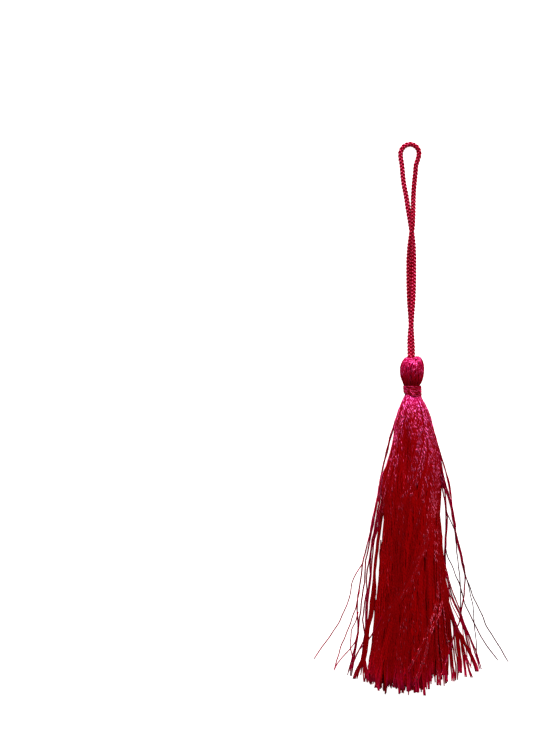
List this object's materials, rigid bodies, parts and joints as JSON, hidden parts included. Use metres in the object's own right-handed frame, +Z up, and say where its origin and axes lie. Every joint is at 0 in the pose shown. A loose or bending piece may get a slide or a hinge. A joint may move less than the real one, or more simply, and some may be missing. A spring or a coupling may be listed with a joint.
{
  "type": "silk tassel",
  "caption": "Deep crimson silk floss tassel with a folded yarn head, thread-bound neck, long loose skirt and braided hanging loop, lying flat",
  "frame": {"origin": "on the surface the tassel lies on, under the middle of the box of head, neck and skirt", "axes": "+Y along the tassel from the hem to the head and on to the hanging loop, +Z up from the surface"},
  "size_m": [0.046, 0.1315, 0.0061],
  "materials": {
    "silk_floss": "lustrous twisted floss, silky sheen",
    "binding_thread": "wound thread, silky sheen",
    "braided_cord": "round braid, soft sheen"
  },
  "bodies": {
    "root": {"yarn_bundle": "silk_floss", "neck_binding": "binding_thread", "hanging_loop": "braided_cord"}
  },
  "joints": []
}
